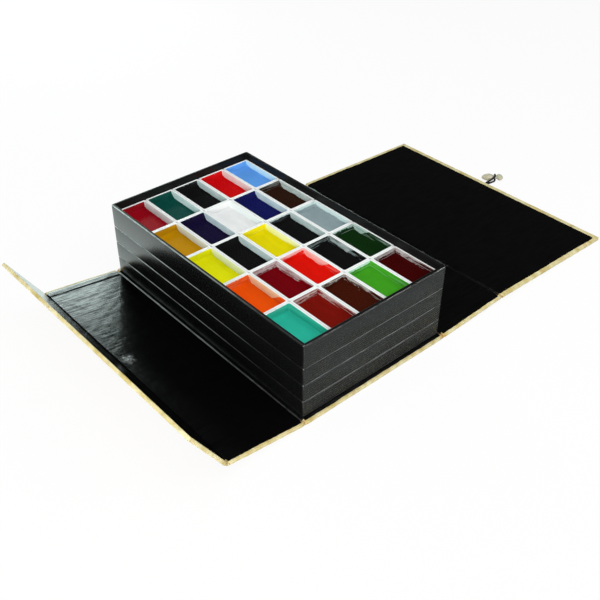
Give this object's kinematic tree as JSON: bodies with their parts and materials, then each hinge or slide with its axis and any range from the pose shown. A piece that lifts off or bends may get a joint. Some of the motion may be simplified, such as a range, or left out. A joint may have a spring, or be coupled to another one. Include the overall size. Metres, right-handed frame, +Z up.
{
  "type": "watercolor paint box",
  "caption": "Folding cloth-covered book case holding stacked black trays of white porcelain pans filled with dried watercolour paint, closed by a bone peg on a cord.",
  "frame": {"origin": "centre of the underside of the base panel, under the middle of the stack of trays", "axes": "+X towards the lid that lies unfolded, -Y towards the near long end, +Z up"},
  "size_m": [0.5029, 0.2554, 0.0716],
  "materials": {
    "board": "matte",
    "brocade": "satin",
    "lining": "gloss",
    "tray": "satin",
    "porcelain": "gloss",
    "lower_paint": "satin",
    "peg": "gloss",
    "cord": "matte",
    "paint_crimson": "satin",
    "paint_deep_teal": "satin",
    "paint_black": "satin",
    "paint_signal_red": "satin",
    "paint_sky_blue": "satin",
    "paint_ochre": "satin",
    "paint_violet": "satin",
    "paint_white": "satin",
    "paint_navy": "satin",
    "paint_umber": "satin",
    "paint_lemon": "satin",
    "paint_golden_yellow": "satin",
    "paint_grey": "satin",
    "paint_orange": "satin",
    "paint_dark_red": "satin",
    "paint_vermilion": "satin",
    "paint_pine_green": "satin",
    "paint_turquoise": "satin",
    "paint_russet": "satin",
    "paint_sepia": "satin",
    "paint_leaf_green": "satin",
    "paint_maroon": "satin"
  },
  "bodies": {
    "base": {"base_board": "board", "base_brocade": "brocade", "base_lining": "lining", "wall_fold_cloth": "brocade", "spine_fold_cloth": "brocade"},
    "wall": {"wall_board": "board", "wall_brocade": "brocade", "wall_lining": "lining", "lip_fold_cloth": "brocade", "wall_loop": "cord"},
    "lip": {"lip_board": "board", "lip_brocade": "brocade", "lip_lining": "lining"},
    "spine": {"spine_board": "board", "spine_brocade": "brocade", "spine_lining": "lining", "lid_fold_cloth": "brocade"},
    "lid": {"lid_board": "board", "lid_brocade": "brocade", "lid_lining": "lining", "clasp_collar": "cord"},
    "clasp": {"clasp_peg": "peg", "clasp_cord": "cord"},
    "bottom_tray": {"bottom_tray": "tray", "bottom_pans": "porcelain", "bottom_paints": "lower_paint"},
    "third_tray": {"third_tray": "tray", "third_pans": "porcelain", "third_paints": "lower_paint"},
    "second_tray": {"second_tray": "tray", "second_pans": "porcelain", "second_paints": "lower_paint"},
    "top_tray": {"top_tray": "tray", "top_pans": "porcelain", "paint_crimson": "paint_crimson", "paint_deep_teal": "paint_deep_teal", "paint_black": "paint_black", "paint_signal_red": "paint_signal_red", "paint_sky_blue": "paint_sky_blue", "paint_ochre": "paint_ochre", "paint_violet": "paint_violet", "paint_white": "paint_white", "paint_navy": "paint_navy", "paint_umber": "paint_umber", "paint_lemon": "paint_lemon", "paint_golden_yellow": "paint_golden_yellow", "paint_grey": "paint_grey", "paint_orange": "paint_orange", "paint_dark_red": "paint_dark_red", "paint_vermilion": "paint_vermilion", "paint_pine_green": "paint_pine_green", "paint_turquoise": "paint_turquoise", "paint_russet": "paint_russet", "paint_sepia": "paint_sepia", "paint_leaf_green": "paint_leaf_green", "paint_maroon": "paint_maroon"}
  },
  "joints": [
    {"name": "wall_fold", "type": "hinge", "parent": "base", "child": "wall", "pos_m": [-0.0763, 0, 0.0015], "axis": [0, -1, 0], "range_deg": [-83.3, 3.9]},
    {"name": "lip_fold", "type": "hinge", "parent": "wall", "child": "lip", "pos_m": [-0.14771, 0, 0.00989], "axis": [0, -1, 0], "range_deg": [-38.7, 51.3]},
    {"name": "spine_fold", "type": "hinge", "parent": "base", "child": "spine", "pos_m": [0.0763, 0, 0.0015], "axis": [0, 1, 0], "range_deg": [-87.18, 0]},
    {"name": "lid_fold", "type": "hinge", "parent": "spine", "child": "lid", "pos_m": [0.15141, 0, 0.0052], "axis": [0, 1, 0], "range_deg": [-94.23, 0]},
    {"name": "clasp_swing", "type": "hinge", "parent": "lid", "child": "clasp", "pos_m": [0.30471, 0.0106, 0.00143], "axis": [0, 1, 0], "range_deg": [-25, 0]},
    {"name": "bottom_tray_lift", "type": "slide", "parent": "base", "child": "bottom_tray", "axis": [0, 0, 1], "range_m": [0, 0.05]},
    {"name": "third_tray_lift", "type": "slide", "parent": "bottom_tray", "child": "third_tray", "axis": [0, 0, 1], "range_m": [0, 0.05]},
    {"name": "second_tray_lift", "type": "slide", "parent": "third_tray", "child": "second_tray", "axis": [0, 0, 1], "range_m": [0, 0.05]},
    {"name": "top_tray_lift", "type": "slide", "parent": "second_tray", "child": "top_tray", "axis": [0, 0, 1], "range_m": [0, 0.05]}
  ]
}
